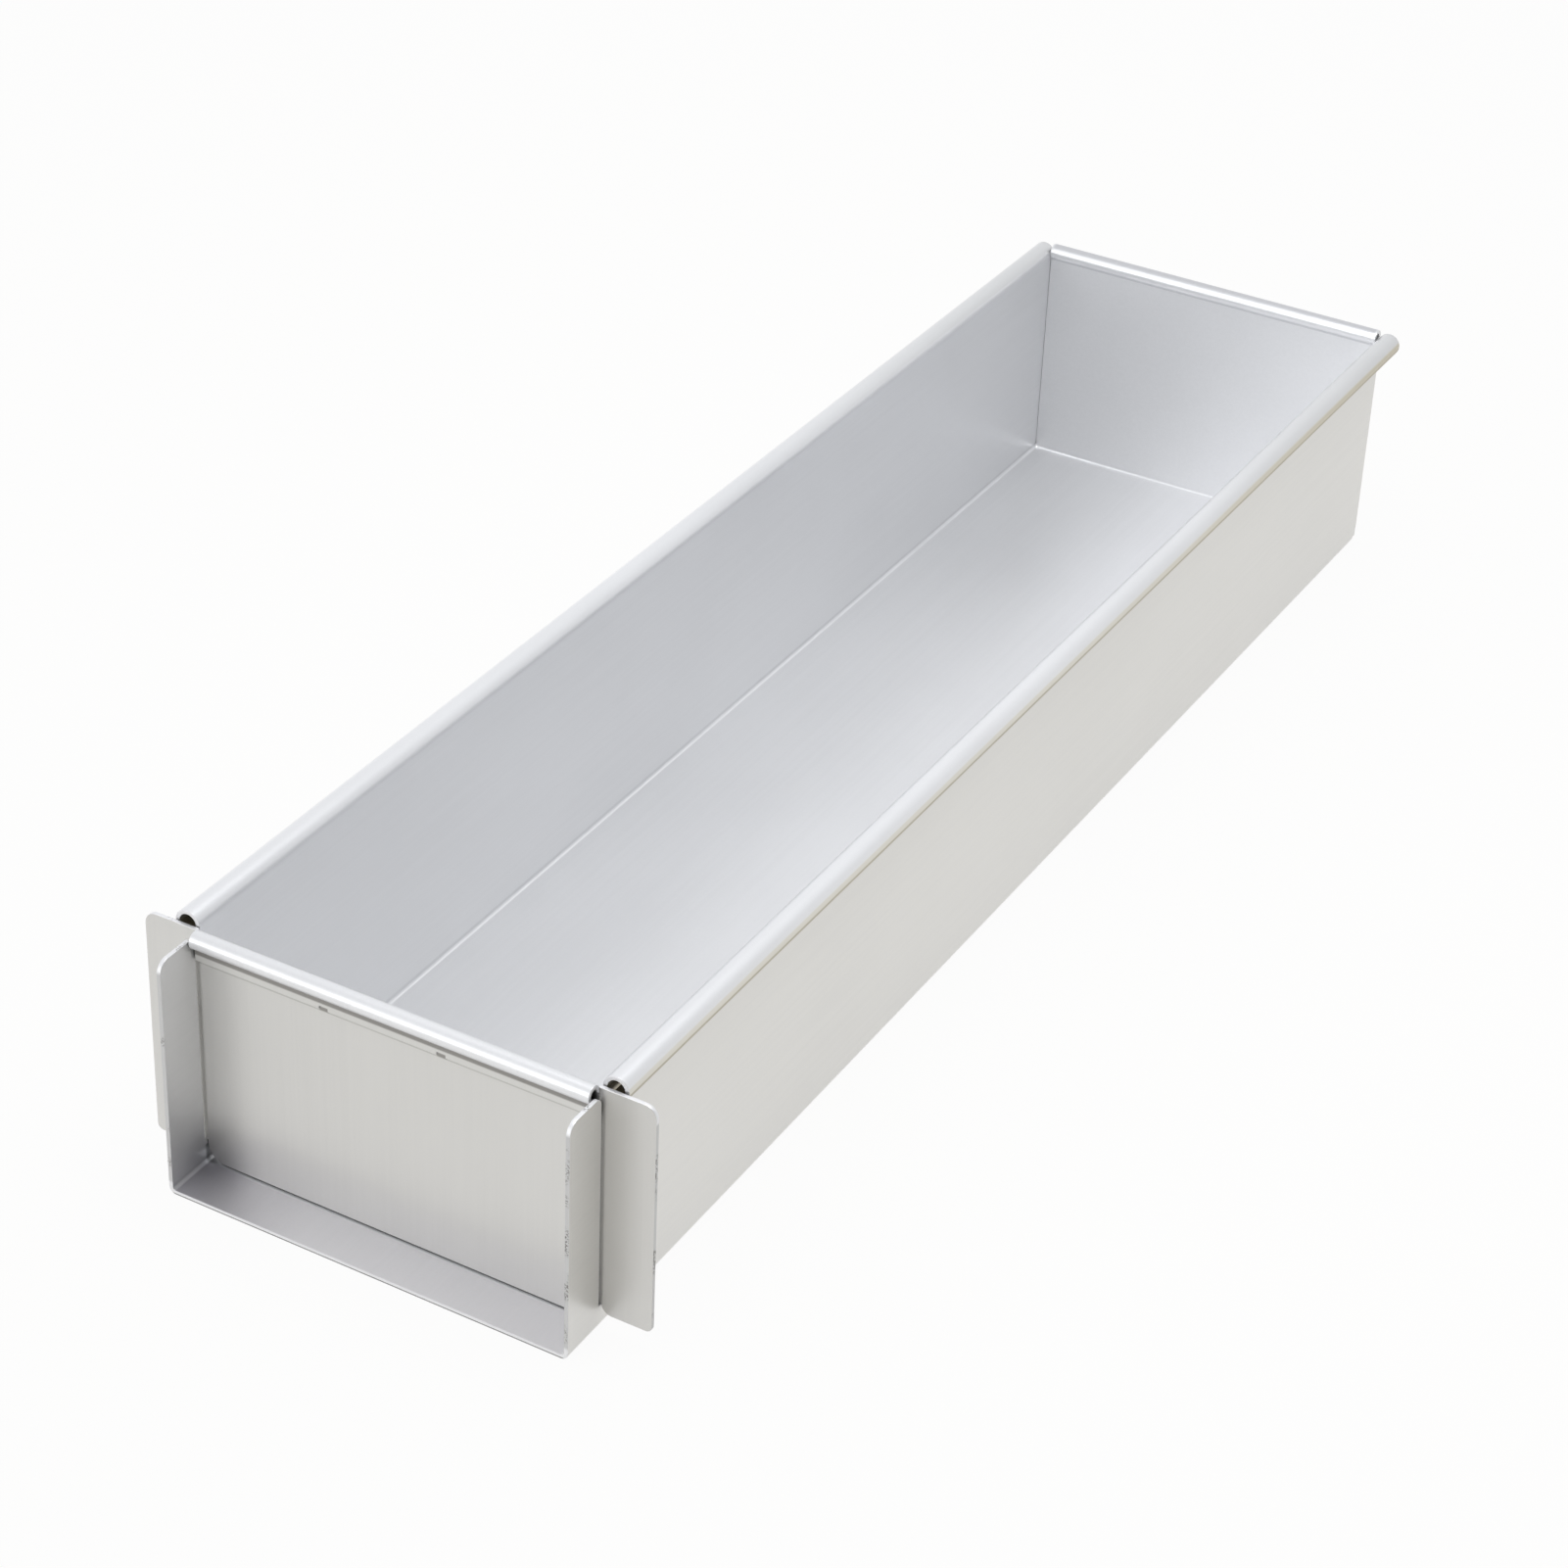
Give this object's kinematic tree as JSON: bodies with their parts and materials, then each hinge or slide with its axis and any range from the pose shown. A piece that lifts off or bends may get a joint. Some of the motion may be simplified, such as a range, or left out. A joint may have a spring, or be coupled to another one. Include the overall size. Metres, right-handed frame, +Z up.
{
  "type": "rectangular cake pan",
  "caption": "Long rectangular cake pan of satin aluminium sheet with curled rims and a slotted front end, closed by a lift-out gate with side ears.",
  "frame": {"origin": "under the middle of the pan's outline, on the surface that it stands on", "axes": "+Z up, +Y along the pan from the gate to the closed end, +X to the right as seen from the gate"},
  "size_m": [0.1268, 0.4171, 0.0655],
  "materials": {
    "pan_aluminium": "satin anodised",
    "gate_aluminium": "satin anodised"
  },
  "bodies": {
    "trough": {"pan_body": "pan_aluminium"},
    "gate": {"lift_out_gate": "gate_aluminium"}
  },
  "joints": [
    {"name": "gate_lift", "type": "slide", "parent": "trough", "child": "gate", "axis": [0, 0, 1], "range_m": [0, 0.07]}
  ]
}
